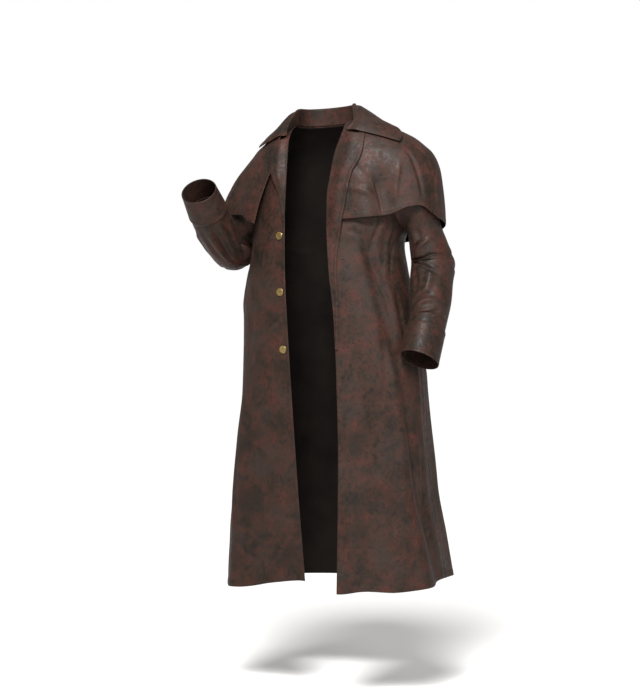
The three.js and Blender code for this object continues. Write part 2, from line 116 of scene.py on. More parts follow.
# Contours of the coat's body, from the neck down: the middle, then how far the cloth reaches.
BODY = table("level midX midY left right frontLeft frontRight back", [
    [38, -12, -8, 80, 80, 60, 60, 62],
    [26, -10, -6, 110, 103, 74, 74, 76],
    [10, -6, -4, 154, 134, 86, 86, 90],
    [-4, -3, -2, 186, 160, 94, 94, 100],
    [-18, -1, -1, 212, 182, 101, 101, 108],
    [-36, 0, 0, 228, 200, 108, 108, 115],
    [-64, 0, 0, 232, 210, 116, 116, 124],
    [-110, 0, 0, 226, 214, 125, 125, 132],
    [-180, 0, 0, 218, 214, 135, 135, 139],
    [-262, 0, 0, 210, 216, 142, 143, 140],
    [-302, 0, 0, 201, 220, 145, 146, 138],
    [-360, 0, 0, 210, 230, 149, 148, 134],
    [-445, 0, 1, 227, 243, 154, 150, 134],
    [-560, 0, 3, 246, 244, 162, 150, 142],
    [-667, 0, 5, 263, 246, 170, 148, 152],
    [-799, 0, 8, 266, 264, 180, 144, 164],
    [-953, 0, 10, 276, 282, 194, 138, 176],
    [-1090, 0, 13, 300, 292, 206, 132, 190],
    [-1200, 0, 15, 318, 302, 216, 126, 206],
])

# Contours of the shoulder cape, which bridges from the chest over the upper arms.
CAPE = table("level midX midY left right frontLeft frontRight back", [
    [42, -12, -8, 84, 84, 64, 64, 67.8],
    [30, -10, -6, 124, 113, 80, 80, 83],
    [14, -6, -4, 168, 146, 93, 93, 98],
    [4, -4, -3, 194, 168, 100, 100, 106],
    [-7, -2, -2, 214, 186, 105, 105, 112],
    [-22, -1, -1, 238, 206, 111, 111, 119],
    [-39, 0, 0, 257, 222, 117, 117, 125],
    [-63, 0, 0, 282, 244, 123, 123, 132],
    [-88, 0, 0, 296, 266, 129, 129, 138],
    [-116, 0, 0, 305, 284, 134, 134, 143],
    [-150, 0, 0, 310, 300, 139, 139, 148],
    [-195, 0, 0, 315, 307, 144, 144, 153],
    [-254, 0, 0, 318, 312, 149, 150, 157],
    [-320, 0, 0, 318, 314, 154, 154, 159],
])

# The open front edges, as places across the chest.
FRONT_EDGES = table("level left right", [
    [38, 64, -89],
    [12, 64, -89],
    [-59, 49, -85],
    [-113, 42, -84],
    [-167, 36, -84],
    [-240, 37, -83],
    [-345, 44, -80],
    [-497, 62, -72],
    [-680, 73, -62],
    [-923, 82, -49],
    [-1200, 85, -34],
])

# Width of the turned-out edge: a lapel above, a narrow strip of facing below.
LAPEL_WIDTHS = table("level left right", [
    [12, 56, 34],
    [-20, 70, 44],
    [-57, 78, 48],
    [-85, 73, 45],
    [-108, 62, 38],
    [-157, 58, 20],
    [-208, 51, 9],
    [-225, 47, 7],
    [-256, 41, 7],
    [-321, 26, 7],
    [-420, 17, 7],
    [-575, 7, 7],
])

CAPE_EDGES = table("level left right", [
    [42, 73.5, -97.5],
    [30, 103, -112],
    [14, 109, -119],
    [4, 110, -120],
    [-57, 114, -122],
    [-88, 100, -129],
    [-108, 92, -138],
    [-135, 87, -147],
    [-175, 80, -160],
    [-232, 74, -174],
])

CAPE_HEM = table("turn level", [
    [-180, -292],
    [-140, -286],
    [-110, -246],
    [-90, -212],
    [-70, -190],
    [-47, -196],
    [-38, -214],
    [-32, -224],
    [15, -232],
    [38, -229],
    [50, -211],
    [57, -208],
    [68, -224],
    [80, -243],
    [90, -250],
    [110, -264],
    [140, -286],
    [180, -292],
])

# How the hem rises and falls round the coat.
HEM_LIFT = table("turn lift", [
    [-180, 0],
    [-90, 5],
    [-50, -1],
    [-20, 13],
    [-8, 17],
    [15, -12],
    [25, -8],
    [45, -16],
    [70, -11],
    [90, 3],
    [180, 0],
])

# Large folds run down the cloth from one place to another. Their half width is in degrees of turn,
# and depth is + for a ridge, - for a trough.
BODY_FOLDS = [
    # turn, level, end turn, end level, half width, depth
    [38, -200, 52, -520, 6, -9],
    [50, -420, 66, -1200, 9, 12],
    [30, -500, 34, -1200, 9, -10],
    [102, -640, 108, -1200, 9, 14],
    [128, -560, 132, -1200, 10, -16],
    [155, -500, 156, -1200, 11, 15],
    [182, -520, 184, -1200, 10, -14],
    [212, -480, 208, -1200, 11, 16],
    [238, -560, 234, -1200, 9, -13],
    [262, -620, 260, -1200, 8, 8],
    [-62, -430, -58, -1200, 9, 10],
    [-38, -620, -36, -1200, 8, -8],
]

CAPE_FOLDS = [
    # turn, level, end turn, end level, half width, depth
    [34, -70, 38, -260, 7, -13],
    [22, -70, 25, -260, 6, 5],
    [60, -110, 62, -260, 8, 6],
    [-48, -80, -50, -260, 7, -9],
    [-66, -90, -66, -260, 8, 6],
    [-128, -70, -128, -300, 10, -12],
    [-152, -60, -150, -300, 10, 8],
    [180, -80, 180, -300, 11, -10],
    [152, -60, 150, -300, 10, 9],
    [126, -70, 126, -300, 10, -12],
]

# Rings of each sleeve from the armhole to the cuff's end: the point nearest the body, the point
# farthest from it, and half the ring's depth the other way.
SLEEVE_COLUMNS = "row innerX innerY innerZ outerX outerY outerZ depth"
SLEEVES = {
    "left": table(SLEEVE_COLUMNS, [
        [0, 212, 0, -250, 230, 0, -28, 74],
        [1, 214, 0, -254, 266, 0, -48, 75],
        [2, 216, 2, -260, 292, 2, -98, 71],
        [3, 218, 3, -268, 299, 4, -160, 66],
        [4, 220, 6, -280, 302, 8, -228, 60],
        [5, 222, 10, -302, 322, 12, -286, 59],
        [6, 225, 12, -344, 341, 14, -340, 59],
        [7, 227, -4, -388, 342, -6, -390, 58],
        [8, 234, -26, -438, 344, -28, -440, 56],
        [9, 240, -52, -488, 340, -52, -492, 53],
        [10, 238, -68, -514, 338, -68, -522, 53],
        [11, 233, -106, -586, 331, -106, -606, 52],
    ]),
    "right": table(SLEEVE_COLUMNS, [
        [0, -216, 0, -273, -212, 0, -53, 74],
        [1, -222, -2, -274, -238, -2, -92, 74],
        [2, -224, -4, -280, -268, -4, -140, 68],
        [3, -225, -4, -286, -288, -2, -190, 58],
        [4, -225, -2, -296, -300, 2, -242, 46],
        [5, -222, -10, -306, -305, 0, -279, 38],
        [6, -222, -25, -319, -309, -14, -305, 36],
        [7, -223, -50, -326, -311, -38, -314, 36],
        [8, -225, -78, -319, -315, -66, -307, 38],
        [9, -227, -107, -298, -319, -93, -285, 43],
        [10, -228, -147, -254, -329, -131, -240, 52],
        [11, -232, -190, -212, -332, -175, -198, 51],
        [12, -242, -244, -158, -330, -231, -144, 44],
    ]),
}

# The collar from its right front round the neck to the left: its seam on the neck, the height
# of its fold, and where its outer edge comes down on the cape.
COLLAR = table("row turn level height edgeTurn edgeLevel edgeRise", [
    [0, -37, 5, 3, -61, -20, 8],
    [1, -62, 29, 27, -78, -4, 8],
    [2, -90, 38, 44, -95, 8, 6],
    [3, -135, 38, 46, -136, 0, 6],
    [4, -180, 38, 46, -180, -2, 6],
    [5, -225, 38, 46, -224, 0, 6],
    [6, -270, 38, 44, -265, 12, 6],
    [7, -299, 29, 28, -284, -4, 8],
    [8, -336, 5, 3, -304, -38, 8],
])

# Creases: where each starts and ends, its half width, its depth (- for a trough) and how far it
# bows sideways, in mm. Places are turn and level on the body and the cape.
BODY_CREASES = [
    # turn, level, end turn, end level, half width, depth, bow
    [26, -236, 47, -262, 6.6, -2.1, 6],
    [22, -262, 40, -296, 7.6, -1.6, 8],
    [56, -206, 46, -330, 10.5, -4.2, -8],
    [66, -232, 55, -400, 12.0, 2.4, 9],
    [75, -300, 63, -382, 7.0, -2.2, -7],
    [44, -330, 58, -520, 14.0, -4.4, 10],
    [66, -430, 74, -600, 12.0, -4.0, -8],
    [46, -520, 40, -760, 15.2, -2.9, 12],
    [24, -640, 20, -840, 13.3, 2.3, -9],
    [28, -700, 34, -806, 8.5, -2.6, 6],
    [60, -700, 72, -1000, 14.2, -3.9, 14],
    [78, -560, 84, -860, 11.4, 3.4, -10],
    [80, -820, 74, -1120, 11.4, -4.2, 10],
    [48, -900, 42, -1190, 17.1, -3.4, 10],
    [19, -950, 24, -1180, 12.3, 2.1, -6],
    [-26, -250, -44, -236, 6.6, -1.6, 5],
    [-70, -300, -62, -372, 6.6, -3.1, -6],
    [-76, -330, -70, -468, 8.5, 2.9, 8],
    [-46, -380, -52, -560, 14.2, -2.3, 9],
    [-30, -600, -34, -830, 12.3, 2.0, -8],
    [-74, -520, -70, -800, 11.4, -3.6, 10],
    [-58, -820, -50, -1090, 14.2, -3.1, -12],
    [-82, -700, -80, -1010, 9.5, 3.1, 8],
    [-26, -900, -22, -1160, 11.4, -2.0, 7],
    [-70, -980, -66, -1195, 11.4, 2.9, -6],
    [112, -270, 136, -330, 8.5, -3.4, 10],
    [118, -330, 150, -372, 9.5, 2.9, 12],
    [206, -300, 236, -262, 8.5, -3.4, -10],
    [214, -372, 244, -330, 9.5, -2.6, -9],
    [166, -250, 170, -420, 12.3, -3.1, 8],
    [194, -300, 190, -470, 10.4, 2.6, -7],
    [142, -620, 146, -900, 13.3, -3.9, 12],
    [170, -700, 166, -980, 13.3, 3.4, -10],
    [198, -660, 202, -930, 12.3, -3.4, 12],
    [226, -720, 222, -1010, 12.3, 3.6, -9],
    [250, -640, 246, -920, 10.4, -3.9, 9],
    [116, -840, 120, -1160, 11.4, -3.6, -9],
    [96, -460, 100, -690, 8.5, -3.1, 7],
    [264, -420, 262, -640, 8.5, 2.9, -7],
]

CAPE_CREASES = [
    # turn, level, end turn, end level, half width, depth, bow
    [30, -120, 36, -226, 4.8, -3.8, 4],
    [47, -90, 43, -206, 9.5, 4.5, -8],
    [56, -60, 60, -196, 7.6, -3.8, 8],
    [14, -150, 32, -186, 8.5, 2.9, 8],
    [70, -40, 74, -150, 9.5, -2.6, 7],
    [82, -110, 78, -230, 8.5, 3.5, -7],
    [20, -84, 30, -140, 7.6, -2.2, -6],
    [-38, -70, -44, -186, 7.6, -2.9, 6],
    [-58, -50, -60, -176, 8.5, 3.2, -8],
    [-76, -70, -74, -188, 7.6, -3.2, 6],
    [-100, -60, -104, -214, 9.5, 3.5, 8],
    [-116, -110, -112, -250, 7.6, -3.5, -7],
    [-140, -90, -142, -282, 10.4, 3.5, 9],
    [-168, -70, -164, -270, 9.5, -3.8, -8],
    [168, -110, 166, -288, 8.5, 3.2, 7],
    [138, -80, 142, -262, 9.5, -3.5, 9],
    [112, -70, 114, -250, 9.5, 3.5, -8],
    [98, -120, 96, -256, 7.6, -2.9, 6],
]

# Places on the sleeves are the angle round the ring and the row of the sleeve's table.
SLEEVE_CREASES = {
    "left": [
        [70, 5.45, 156, 5.8, 6.2, -6.6, 5],
        [12, 5.75, 86, 5.5, 5.0, -4.6, -6],
        [66, 5.8, 138, 6.05, 5.5, 3.6, 5],
        [146, 5.6, 84, 4.5, 7.0, -6.4, 6],
        [122, 5.3, 60, 4.6, 8.0, 5.2, 5],
        [144, 6.0, 52, 7.0, 6.0, -5.4, -7],
        [110, 3.6, 96, 4.6, 9.0, -4.4, 7],
        [132, 4.1, 146, 5.2, 6.3, -4.0, 6],
        [76, 6.7, 92, 8.2, 10, 4.0, 3],
        [126, 6.7, 120, 8.0, 9.0, -3.4, 4],
        [150, 8.8, 74, 8.1, 5.8, -6.4, 6],
        [128, 8.9, 56, 8.35, 7.0, 5.2, 5],
        [110, 9.35, 36, 8.7, 5.6, -5.6, -5],
        [60, 9.6, 14, 8.9, 6.0, 4.2, 4],
        [330, 5.4, 396, 5.9, 6.3, -5.1, 6],
        [320, 6.4, 386, 6.2, 5.4, -3.9, -6],
        [200, 4.4, 214, 6.8, 9.9, 3.9, 9],
        [236, 5.2, 248, 7.6, 9, -4.2, -9],
        [268, 4.4, 276, 6.4, 9, 3.9, 8],
        [214, 7.4, 292, 7.9, 7.2, -4.2, 8],
        [222, 8.6, 310, 9.0, 6.3, -4.5, -8],
        [180, 8.4, 196, 9.7, 7.2, 3.3, 6],
    ],
    "right": [
        [246, 6.4, 330, 5.4, 5.4, -8.1, 8],
        [236, 7.0, 338, 6.4, 4.5, 5.7, 8],
        [230, 7.5, 344, 7.0, 5.4, -7.7, -8],
        [224, 8.1, 336, 7.9, 5.4, 5.7, 7],
        [240, 8.7, 324, 8.4, 5.4, -6.9, 8],
        [206, 8.8, 226, 10.2, 8.1, 5.7, 8],
        [254, 9.1, 246, 10.8, 8.1, -5.7, -8],
        [286, 9.2, 292, 10.9, 7.2, 5.7, 7],
        [316, 9.0, 310, 10.4, 6.3, -5.3, 6],
        [340, 4.2, 396, 4.9, 6.3, -6.1, 7],
        [10, 5.6, 70, 6.2, 7.2, -6.1, 8],
        [20, 7.2, 82, 7.6, 7.2, -6.5, -7],
        [36, 8.6, 60, 10.4, 9, 5.3, 8],
        [102, 8.9, 90, 10.8, 7.4, -3.8, 5],
        [124, 8.6, 110, 10.8, 6.6, 4.8, 5],
        [140, 8.2, 126, 10.7, 5.4, -7.2, 6],
        [156, 8.8, 142, 10.8, 5.4, 5.8, -4],
        [140, 5.0, 150, 7.4, 9.9, 5.3, -8],
        [170, 8.3, 160, 10.6, 5.6, -7.4, -5],
        [188, 8.6, 178, 10.3, 6.4, 5.0, 5],
        [262, 2.4, 286, 4.2, 8.1, -5.3, 7],
        [296, 2.6, 306, 4.4, 7.2, 4.9, -6],
    ],
}
# About how much cloth lies along a degree of turn, along a degree round a sleeve, and between a
# sleeve's rings. The last is also about half a sleeve's width, so its creases are scaled by it.
TURN_MM = 4.4
ANGLE_MM = 0.95
SLEEVE_ROW_MM = 55


def mix(start, end, share):
    """A value this share of the way from start to end."""
    return start + (end - start) * share


def ease(start, end, value):
    """A smooth step from 0 at start to 1 at end: 3 s^2 - 2 s^3."""
    share = np.clip((value - start) / (end - start), 0, 1)
    return share * share * (3 - 2 * share)


def eased_steps(start, end, count):
    """Steps that crowd at both ends, as an armhole's curve needs: (1 - cos) / 2."""
    return mix(start, end, (1 - np.cos(np.linspace(0, np.pi, count + 1))) / 2)


def read(rows, column, at):
    """A column's value at a place on the first column: a cubic through the rows that never
    overshoots them."""
    key = next(iter(rows.values()))
    value = rows[column]
    if key[0] > key[-1]:
        key, value = key[::-1], value[::-1]
    slope = np.diff(value) / np.diff(key)
    before, after = slope[:-1], slope[1:]
    total = np.where(before + after == 0, 1, before + after)
    inner = np.where(before * after > 0, 2 * before * after / total, 0)
    tangent = np.concatenate([slope[:1], inner, slope[-1:]])
    at = np.asarray(at, float)
    i = np.clip(np.searchsorted(key, at, side="right") - 1, 0, len(key) - 2)
    span = key[i + 1] - key[i]
    t = np.clip((at - key[i]) / span, 0, 1)
    return (
        value[i] * (1 + 2 * t) * (1 - t) ** 2
        + value[i + 1] * (3 - 2 * t) * t**2
        + span * tangent[i] * t * (1 - t) ** 2
        - span * tangent[i + 1] * t**2 * (1 - t)
    )


def glide(rows, column, place):
    """A column's value between numbered rows: a Catmull-Rom curve through them."""
    value = rows[column]
    place = np.asarray(place, float)
    last = len(value) - 1
    i = np.clip(np.floor(place).astype(int), 0, last - 1)
    t = place - i
    a, b, c, d = (value[np.clip(i + k, 0, last)] for k in (-1, 0, 1, 2))
    slope, bend, twist = c - a, 2 * a - 5 * b + 4 * c - d, 3 * (b - c) + d - a
    return 0.5 * (2 * b + slope * t + bend * t**2 + twist * t**3)


def wrap(turn):
    """A turn brought to between -180 and 180 degrees."""
    return (turn + 180) % 360 - 180


def fold_depth(folds, turn, level):
    """Sum of the large folds: each a bell across, growing down its line from its top."""
    depth = 0
    for start, top, end, bottom, width, height in folds:
        share = (level - top) / (bottom - top)
        away = wrap(turn - mix(start, end, share))
        depth = depth + height * ease(0, 0.5, share) * np.exp(-((away / width) ** 2))
    return depth


def crease_depth(creases, a, b, scale_a, scale_b):
    """Sum of the creases: each a bell across its bowed line, less a fainter and wider bell that
    makes a lip beside it, fading at its ends."""
    depth = 0
    for a0, b0, a1, b1, width, height, bow in creases:
        run = np.array([(a1 - a0) * scale_a, (b1 - b0) * scale_b])
        length = np.hypot(*run)
        across = wrap(a - (a0 + a1) / 2) + (a1 - a0) / 2
        x, y = across * scale_a, (b - b0) * scale_b
        share = (x * run[0] + y * run[1]) / length**2
        side = (y * run[0] - x * run[1]) / length - 4 * bow * share * (1 - share)
        reach = ease(-0.12, 0.3, share) * (1 - ease(0.7, 1.12, share))
        lip = np.exp(-((side / width / LIP_SPREAD) ** 2))
        bell = np.exp(-((side / width) ** 2)) - LIP_SHARE * lip
        depth = depth + height * CREASE_PEAK * reach * bell
    return depth


def contour_point(shape, squareness, folds, creases, turn, level):
    """A point of a contour: an ellipse with fuller corners, x = a sin^(2/n) and y = -b cos^(2/n),
    moved in and out by folds and creases."""
    turn, level = np.broadcast_arrays(np.asarray(turn, float), np.asarray(level, float))
    across = np.sin(np.radians(turn))
    along = np.cos(np.radians(turn))
    side = np.where(across >= 0, read(shape, "left", level), read(shape, "right", level))
    front = np.where(across >= 0, read(shape, "frontLeft", level), read(shape, "frontRight", level))
    deep = np.where(along > 0, front, read(shape, "back", level))
    x = side * np.sign(across) * np.abs(across) ** (2 / squareness)
    y = -deep * np.sign(along) * np.abs(along) ** (2 / squareness)
    moved = fold_depth(folds, turn, level) + crease_depth(creases, turn, level, TURN_MM, 1)
    swell = 1 + moved / np.hypot(x, y)
    return np.stack([
        read(shape, "midX", level) + x * swell,
        read(shape, "midY", level) + y * swell,
        level,
    ], axis=-1)


def turn_at(shape, squareness, x, level):
    """The turn at which a shape's front passes a given place across the chest."""
    from_middle = x - read(shape, "midX", level)
    half = np.where(from_middle > 0, read(shape, "left", level), read(shape, "right", level))
    share = np.minimum(1, np.abs(from_middle) / half) ** (squareness / 2)
    return np.degrees(np.sign(from_middle) * np.arcsin(share))


def body_point(turn, level):
    """A point of the coat's body: its contour, lifted as the hem is, leaning with the shoulders."""
    point = contour_point(BODY, BODY_SQUARENESS, BODY_FOLDS, BODY_CREASES, turn, level)
    drop = read(HEM_LIFT, "lift", wrap(turn)) * ease(-800, HEM_LEVEL, level)
    point[..., 2] += LEAN * point[..., 0] + drop
    return point


def cape_point(turn, level):
    """A point of the cape: its contour, leaning with the shoulders."""
    point = contour_point(CAPE, CAPE_SQUARENESS, CAPE_FOLDS, CAPE_CREASES, turn, level)
    point[..., 2] += LEAN * point[..., 0]
    return point


def unit(vectors):
    """Vectors brought to length 1."""
    return vectors / np.maximum(np.linalg.norm(vectors, axis=-1, keepdims=True), 1e-9)


def normal_of(point_at, a, b, step_a, step_b):
    """The outward normal of a surface at a place, from its slopes both ways."""
    along_a = point_at(a + step_a, b) - point_at(a - step_a, b)
    along_b = point_at(a, b + step_b) - point_at(a, b - step_b)
    return unit(np.cross(along_a, along_b))


def on_surface(point_at, turn, level):
    """Points of a contoured surface and their normals."""
    return point_at(turn, level), normal_of(point_at, turn, level, 0.2, 0.5)


def seam_turn(shape, squareness, column, level):
    """Half the seam gap as a turn, beside the side of a contour that is this deep."""
    return np.degrees((SEAM_GAP / 2 / read(shape, column, level)) ** (squareness / 2))


def armhole_turn(level):
    """How far the armhole cuts into a panel from the side seam: half an ellipse."""
    half = (SHOULDER_LEVEL - ARMPIT_LEVEL) / 2
    height = (level - ARMPIT_LEVEL - half) / half
    return ARMHOLE_TURN * np.sqrt(np.maximum(0, 1 - height**2))


def joined(*runs):
    """Several runs of steps in one, each starting where the last one ended."""
    return np.concatenate([runs[0], *[run[1:] for run in runs[1:]]])


def body_levels():
    """Levels of a panel's rows: close at the hem and round the armhole's curve."""
    return joined(
        np.linspace(HEM_LEVEL, HEM_LEVEL + 24, 11),
        np.linspace(HEM_LEVEL + 24, ARMPIT_LEVEL, 176),
        eased_steps(ARMPIT_LEVEL, SHOULDER_LEVEL, 54),
        np.linspace(SHOULDER_LEVEL, NECK_LEVEL, 22),
    )[:, None]


def body_grid(shares, start, end):
    """Rows of levels and columns of turns between two edges that move with the level."""
    level = body_levels()
    turn = mix(start(level), end(level), shares)
    return on_surface(body_point, turn, level + 0 * turn)


EDGE_FIRST = joined(np.linspace(0, 0.07, 12), np.linspace(0.07, 1, 60))


def back_panel():
    """The back, from the left side seam and armhole to the right ones."""

    def seam(level):
        return 90 + armhole_turn(level) + seam_turn(BODY, BODY_SQUARENESS, "back", level)

    return body_grid(np.linspace(0, 1, 170), seam, lambda level: 360 - seam(level))


def front_panel(side):
    """A front, from its open edge to its side seam and armhole."""
    front = "frontLeft" if side == "left" else "frontRight"

    def edge(level):
        return turn_at(BODY, BODY_SQUARENESS, read(FRONT_EDGES, side, level), level)

    def seam(level):
        return 90 - armhole_turn(level) - seam_turn(BODY, BODY_SQUARENESS, front, level)

    if side == "left":
        return body_grid(EDGE_FIRST, edge, seam)
    return body_grid(1 - EDGE_FIRST[::-1], lambda level: -seam(level), edge)


def lapel_point(side, share, level):
    """A lapel's point: on the front panel at the rolled edge, and riding on the cape towards its
    outer edge."""
    outward = 1 if side == "left" else -1
    x = read(FRONT_EDGES, side, level) + outward * share * read(LAPEL_WIDTHS, side, level)
    on_body = body_point(turn_at(BODY, BODY_SQUARENESS, x, level), level)
    on_cape = cape_point(turn_at(CAPE, CAPE_SQUARENESS, x, level), level)
    on_cape[..., 1] -= LAPEL_CLEARANCE
    rest, leave = LAPEL_REST[side]
    riding = ease(0, 0.6, share) * ease(rest, leave, level)
    return mix(on_body, on_cape, riding[..., None])


def lapel(side):
    """The turned-out edge: across from the rolled edge, up from its narrow foot."""
    share = np.linspace(0, 1, 22) if side == "left" else np.linspace(1, 0, 22)
    height = np.linspace(0, 1, 170 if side == "left" else 80)[:, None]
    level = mix(LAPEL_BOTTOM[side], LAPEL_TOP - LAPEL_TOP_DROP * share, height)
    share = share + 0 * level

    def point_at(a, b):
        return lapel_point(side, a, b)

    normal = normal_of(point_at, share, level, 0.02 if side == "left" else -0.02, 1)
    return point_at(share, level), normal


def cape_grid(shares, drops, start, end):
    """Rows of the cape down from the neck, each row's level following the cape's uneven hem."""
    along = mix(CAPE_TOP, CAPE_FRONT_HEM, drops[:, None])
    turn = mix(start(along), end(along), shares)
    level = mix(CAPE_TOP, read(CAPE_HEM, "level", wrap(turn)), drops[:, None])
    return on_surface(cape_point, turn, level)


CAPE_DROPS = joined(np.linspace(1, 0.93, 10), np.linspace(0.93, 0, 72))
CAPE_FIRST = joined(np.linspace(0, 0.05, 9), np.linspace(0.05, 1, 84))


def cape_front(side):
    """A front half of the cape, from its open edge to the seam on the shoulder."""

    def edge(level):
        return turn_at(CAPE, CAPE_SQUARENESS, read(CAPE_EDGES, side, level), level)

    def seam(level):
        return 90 - seam_turn(CAPE, CAPE_SQUARENESS, "frontLeft", level)

    if side == "left":
        return cape_grid(CAPE_FIRST, CAPE_DROPS, edge, seam)
    return cape_grid(1 - CAPE_FIRST[::-1], CAPE_DROPS, lambda level: -seam(level), edge)


def cape_back():
    """The back of the cape, from seam to seam."""

    def seam(level):
        return 90 + seam_turn(CAPE, CAPE_SQUARENESS, "back", level)

    return cape_grid(np.linspace(0, 1, 170), CAPE_DROPS, seam, lambda level: 360 - seam(level))


def collar_point(place, across):
    """A place on the collar: across 0 to 1 climbs the stand, 1 to 2 goes over the fold in a half
    circle, 2 to 3 comes down the leaf, which keeps to the cape's form."""
    turn, level, height, edge_turn, edge_level, edge_rise = (
        glide(COLLAR, column, place) for column in list(COLLAR)[1:]
    )
    foot, normal = on_surface(body_point, turn, level)
    foot = foot + normal * COLLAR_SEAT
    away = foot - [BODY["midX"][0], BODY["midY"][0], 0]
    away[..., 2] = 0
    away = unit(away)
    climb = np.minimum(1, across)
    bend = np.pi * np.clip(across - 1, 0, 1)
    out = COLLAR_LEAN * height * climb + COLLAR_FOLD_RADIUS * (1 - np.cos(bend))
    top = foot + away * out[..., None]
    top[..., 2] += COLLAR_SEAT + height * climb + COLLAR_FOLD_RADIUS * np.sin(bend)
    fall = np.clip(across - 2, 0, None)
    leaf_start = level + COLLAR_LEAF_START
    start = cape_point(turn, leaf_start)
    leaf_turn = mix(turn, edge_turn, fall)
    leaf_level = mix(leaf_start, edge_level, fall)
    leaf, leaf_normal = on_surface(cape_point, leaf_turn, leaf_level)
    lift = edge_rise * ease(0, 0.15, fall)
    spare = (top - start) * (np.maximum(0, 1 - fall) ** COLLAR_LEAF_SAG)[..., None]
    leaf = leaf + leaf_normal * lift[..., None] + spare
    return np.where((across > 2)[..., None], leaf, top)


def collar():
    """The whole collar: rows up the stand, over the fold and down the leaf, close at its edge."""
    stand, fold = np.linspace(0, 1, 12), np.linspace(1, 2, 10)
    across = joined(stand, fold, np.linspace(2, 2.9, 26), np.linspace(2.9, 3, 6))
    place, across = np.meshgrid(np.linspace(0, 8, 230), across)
    return collar_point(place, across), normal_of(collar_point, place, across, 0.02, 0.02)


def armhole_point(side, angle):
    """A point of the armhole's edge, a little inside it, where the sleeve is sewn in."""
    half = (SHOULDER_LEVEL - ARMPIT_LEVEL) / 2
    shrink = 1 - ARMHOLE_EASE / half
    level = ARMPIT_LEVEL + half + half * shrink * np.cos(angle)
    middle = 90 if side == "left" else -90
    return body_point(middle - ARMHOLE_TURN * shrink * np.sin(angle), level)


def sleeve_point(side, angle, place):
    """A point of a sleeve: an ellipse through the ends of each ring of the sleeve's table, the
    first of them grown out of the armhole."""
    rows = SLEEVES[side]

    def ring_end(end, at):
        return np.stack([glide(rows, end + axis, at) for axis in "XYZ"], axis=-1)

    def centre(at):
        return (ring_end("inner", at) + ring_end("outer", at)) / 2

    half = (ring_end("outer", place) - ring_end("inner", place)) / 2
    onwards = centre(place + 0.1) - centre(place - 0.1)
    deep = unit(np.cross(onwards, half)) * glide(rows, "depth", place)[..., None]
    crease = crease_depth(SLEEVE_CREASES[side], np.degrees(angle), place, ANGLE_MM, SLEEVE_ROW_MM)
    swell = (1 + crease / SLEEVE_ROW_MM)[..., None]
    reach = half * np.cos(angle)[..., None] + deep * np.sin(angle)[..., None]
    ring = centre(place) + reach * swell
    return mix(armhole_point(side, angle), ring, ease(0, 1, place)[..., None])


def sleeve_grid(side, start, end, rows, columns):
    """Points and normals of a stretch of a sleeve: angles round it, numbered rings along it."""
    angle, place = np.meshgrid(
        np.linspace(0, 2 * np.pi, columns, endpoint=False), np.linspace(start, end, rows)
    )

    def point_at(a, b):
        return sleeve_point(side, a, b)

    return point_at(angle, place), normal_of(point_at, angle, place, 0.02, 0.02)


def sleeve(side):
    """A sleeve from its armhole to a little way inside its cuff."""
    cuff_start = len(SLEEVES[side]["row"]) - 2
    return sleeve_grid(side, 0, cuff_start + SLEEVE_INTO_CUFF, 160, 96)


def cuff(side):
    """A cuff, on the last stretch of the sleeve's rings."""
    end = len(SLEEVES[side]["row"]) - 1
    return sleeve_grid(side, end - 1, end, 30, 120)


def edge_distance(points, edges):
    """How far each point lies from the nearest finished edge, along the cloth: the running length
    of the grid's lines from that edge, scaled so that its turn's width reads as HEM_TURN."""
    far = np.full(points.shape[:2], FAR_FROM_EDGES)
    along_row = np.linalg.norm(np.diff(points, axis=1), axis=-1)
    along_column = np.linalg.norm(np.diff(points, axis=0), axis=-1)
    row_length = np.pad(np.cumsum(along_row, axis=1), ((0, 0), (1, 0)))
    column_length = np.pad(np.cumsum(along_column, axis=0), ((1, 0), (0, 0)))
    distances = {
        "first": row_length,
        "last": row_length[:, -1:] - row_length,
        "bottom": column_length,
        "top": column_length[-1:] - column_length,
    }
    for edge, turned in edges.items():
        far = np.minimum(far, distances[edge] * HEM_TURN / turned)
    return far


def object_from(name, points, faces, material, smooth=True):
    """A mesh object from millimetre points and equal-sided faces, riding on the coat's one body."""
    mesh = bpy.data.meshes.new(name)
    mesh.vertices.add(len(points))
    mesh.vertices.foreach_set("co", (points / 1000).astype(np.float32).ravel())
    sides = faces.shape[1]
    mesh.loops.add(faces.size)
    mesh.loops.foreach_set("vertex_index", faces.astype(np.int32).ravel())
    mesh.polygons.add(len(faces))
    mesh.polygons.foreach_set("loop_start", np.arange(0, faces.size, sides, dtype=np.int32))
    mesh.polygons.foreach_set("use_smooth", np.full(len(faces), smooth))
    mesh.update(calc_edges=True)
    mesh.validate()
    for each in material if isinstance(material, list) else [material]:
        mesh.materials.append(each)
    item = bpy.data.objects.new(name, mesh)
    bpy.context.scene.collection.objects.link(item)
    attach(item, "root")
    return item


def grid_faces(rows, columns, tube=False):
    """Four-sided faces of a grid whose columns run round and rows run up, facing out."""
    across = np.arange(columns if tube else columns - 1)
    row, column = np.meshgrid(np.arange(rows - 1), across, indexing="ij")
    here = row * columns
    above = here + columns
    after = (column + 1) % columns
    return np.stack([here + column, here + after, above + after, above + column], -1).reshape(-1, 4)


